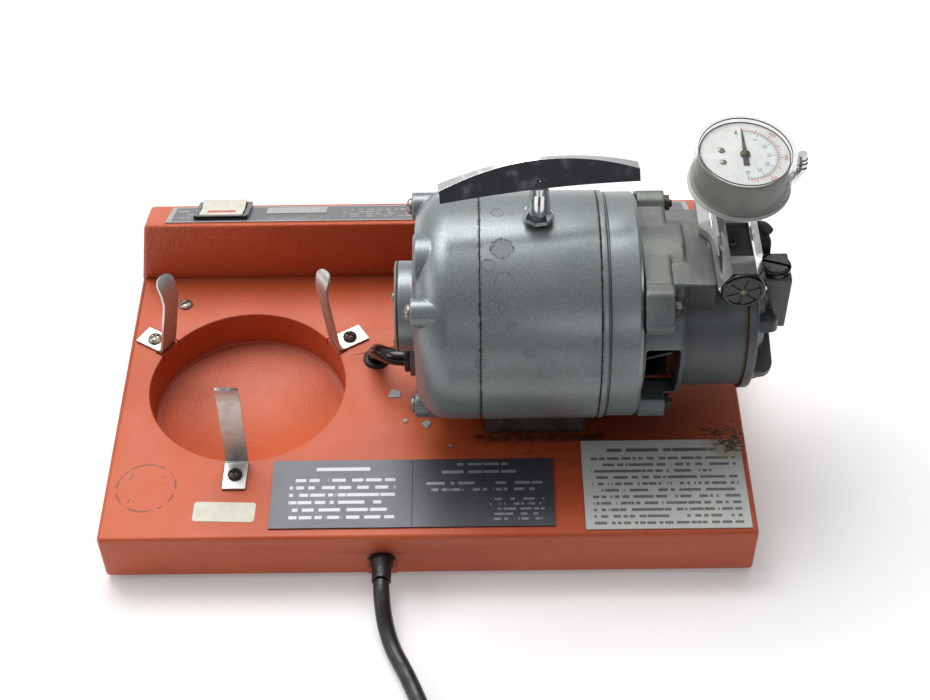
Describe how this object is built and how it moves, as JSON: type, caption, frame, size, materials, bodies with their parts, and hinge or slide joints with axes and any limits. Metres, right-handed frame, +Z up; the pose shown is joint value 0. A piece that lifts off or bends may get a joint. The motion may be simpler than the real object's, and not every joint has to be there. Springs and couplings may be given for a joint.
{
  "type": "suction pump",
  "caption": "Electric suction pump on an orange sheet-metal base with a bottle well, clips, vacuum gauge, regulator, handle and mains lead.",
  "frame": {"origin": "on the surface it stands on, under the middle of the pump without its lead", "axes": "+Z up, +X to the right along the motor shaft, -Y to the front, where the lead leaves"},
  "size_m": [0.43, 0.5032, 0.2207],
  "materials": {
    "orange_paint": "semi-gloss, fine texture",
    "silver_paint": "satin metallic",
    "pump_casting": "painted rough casting",
    "chrome_plate": "mirror, lightly worn",
    "plug_plate": "satin",
    "fastener_steel": "zinc plated, dirty",
    "shaft_steel": "ground",
    "gauge_steel": "brushed round",
    "laminations": "stacked sheet with copper windings",
    "brass": "machined",
    "black_plastic": "glossy",
    "white_plastic": "satin",
    "dark_plate": "anodised, brushed",
    "white_plate": "satin white",
    "dial_white": "printed matt white",
    "pointer_black": "matt black",
    "clear_plastic": "clear moulding",
    "carbon": "pressed carbon",
    "gasket_fibre": "oil-stained fibre",
    "black_rubber": "smooth"
  },
  "bodies": {
    "base": {"base_shell": "orange_paint", "well_pan": "orange_paint", "bottom_plate": "orange_paint", "motor_foot": "silver_paint", "end_bell": "silver_paint", "bearing_cover": "silver_paint", "stator_shell": "silver_paint", "drive_bell": "silver_paint", "pump_housing": "pump_casting", "pump_end_cover": "pump_casting", "clip_left": "chrome_plate", "clip_right": "chrome_plate", "clip_front": "chrome_plate", "regulator_body": "chrome_plate", "handle_bar": "chrome_plate", "handle_post": "chrome_plate", "hose_nipple": "chrome_plate", "port_plug": "plug_plate", "deck_screw": "fastener_steel", "clip_screw_left": "fastener_steel", "clip_screw_right": "fastener_steel", "clip_screw_front": "fastener_steel", "tie_bolt_1": "fastener_steel", "tie_bolt_2": "fastener_steel", "tie_bolt_3": "fastener_steel", "tie_bolt_4": "fastener_steel", "bearing_left": "shaft_steel", "bearing_right": "shaft_steel", "gauge_case": "gauge_steel", "stator": "laminations", "switch_housing": "black_plastic", "plate_left": "dark_plate", "plate_right": "dark_plate", "console_plate": "dark_plate", "instruction_plate": "white_plate", "gauge_dial": "dial_white", "gauge_lens": "clear_plastic", "pump_gasket": "gasket_fibre", "foot_1": "black_rubber", "foot_2": "black_rubber", "foot_3": "black_rubber", "foot_4": "black_rubber", "motor_cable": "black_rubber", "cord_grommet": "black_rubber", "power_cord": "black_rubber", "cord_coil": "black_rubber", "cord_tail": "black_rubber", "power_plug": "black_rubber"},
    "rotor": {"rotor_shaft": "shaft_steel", "rotor_core": "laminations", "cooling_fan": "black_plastic", "vane_rotor": "shaft_steel", "pump_vane_1": "carbon", "pump_vane_2": "carbon", "pump_vane_3": "carbon", "pump_vane_4": "carbon"},
    "gauge_pointer": {"gauge_needle": "pointer_black"},
    "regulator_stem": {"regulator_needle": "brass"},
    "regulator_knob": {"regulator_knob": "black_plastic"},
    "switch_rocker": {"switch_rocker": "white_plastic"}
  },
  "joints": [
    {"name": "rotor_spin", "type": "hinge", "parent": "base", "child": "rotor", "pos_m": [0, -0.0132, 0.112], "axis": [1, 0, 0], "continuous": true},
    {"name": "pointer_turn", "type": "hinge", "parent": "base", "child": "gauge_pointer", "pos_m": [0.16229, -0.00148, 0.21483], "axis": [-0.0297, 0.0871, -0.9958], "range_deg": [0, 180], "stiffness_Nm_per_rad": 0.001},
    {"name": "knob_turn", "type": "hinge", "parent": "regulator_stem", "child": "regulator_knob", "pos_m": [0.1607, -0.055, 0.1634], "axis": [0, -1, 0], "range_deg": [0, 900]},
    {"name": "stem_slide", "type": "slide", "parent": "base", "child": "regulator_stem", "axis": [0, -1, 0], "range_m": [0, 0.00201]},
    {"name": "rocker_tilt", "type": "hinge", "parent": "base", "child": "switch_rocker", "pos_m": [-0.1483, 0.10725, 0.07632], "axis": [-1, 0, 0], "range_deg": [0, 20]}
  ],
  "couplings": [
    {"joint": "stem_slide", "follows": "knob_turn", "m_per_rad": 0.00012732}
  ]
}
